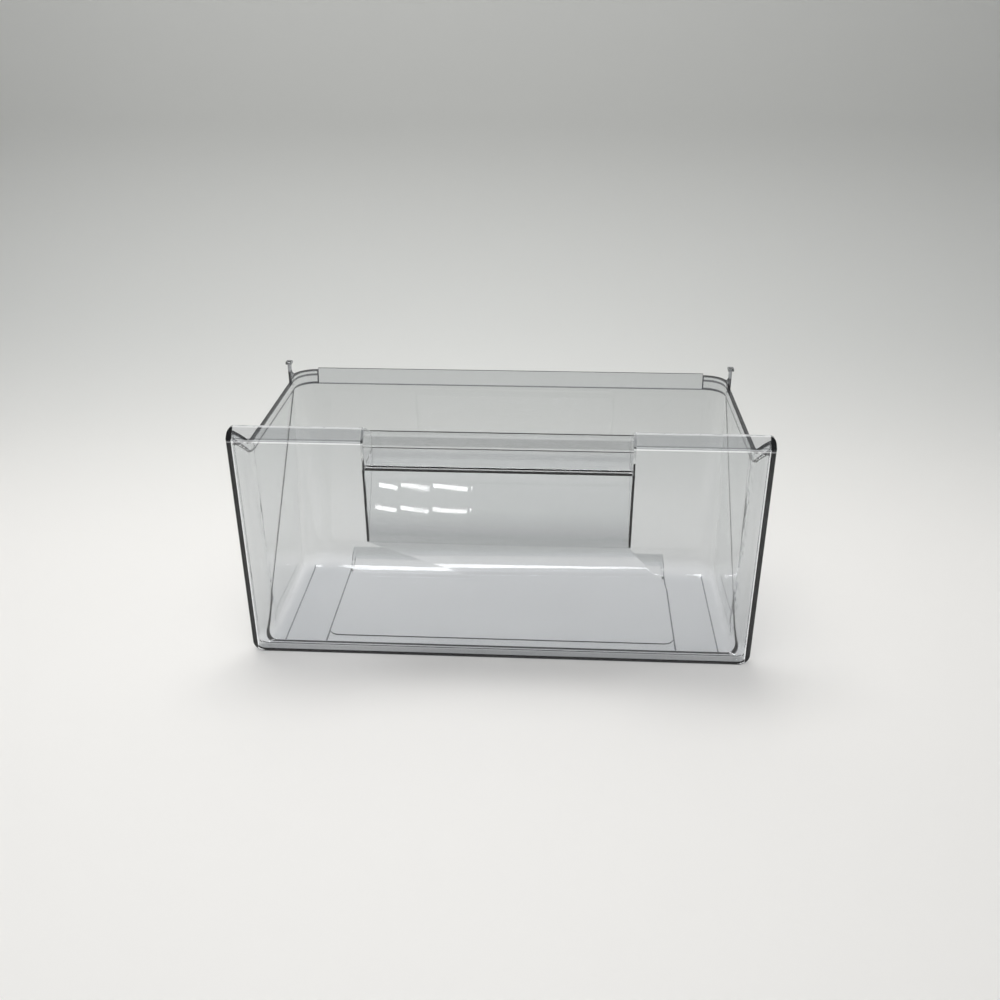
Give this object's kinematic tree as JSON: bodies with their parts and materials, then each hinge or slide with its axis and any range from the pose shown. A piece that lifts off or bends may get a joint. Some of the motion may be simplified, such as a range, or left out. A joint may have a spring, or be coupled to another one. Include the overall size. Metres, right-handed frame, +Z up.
{
  "type": "freezer drawer",
  "caption": "Clear plastic freezer drawer with a deep front panel, recessed grip, rim rails and a rear wall that leans back over the compressor step.",
  "frame": {"origin": "middle of the drawer's outline on the plane its underside rests on", "axes": "+X to the right seen from the front, -Y out of the front panel towards the person, +Y to the leaning rear wall, +Z up"},
  "size_m": [0.44, 0.1898, 0.2155],
  "materials": {
    "clear_front": "clear, polished",
    "clear_tub": "clear, polished"
  },
  "bodies": {
    "root": {"tub": "clear_tub", "front_panel": "clear_front", "hand_recess": "clear_front", "grip_shelf": "clear_front", "left_rail": "clear_tub", "right_rail": "clear_tub", "left_brace": "clear_tub", "right_brace": "clear_tub", "left_stop": "clear_tub", "right_stop": "clear_tub"}
  },
  "joints": []
}
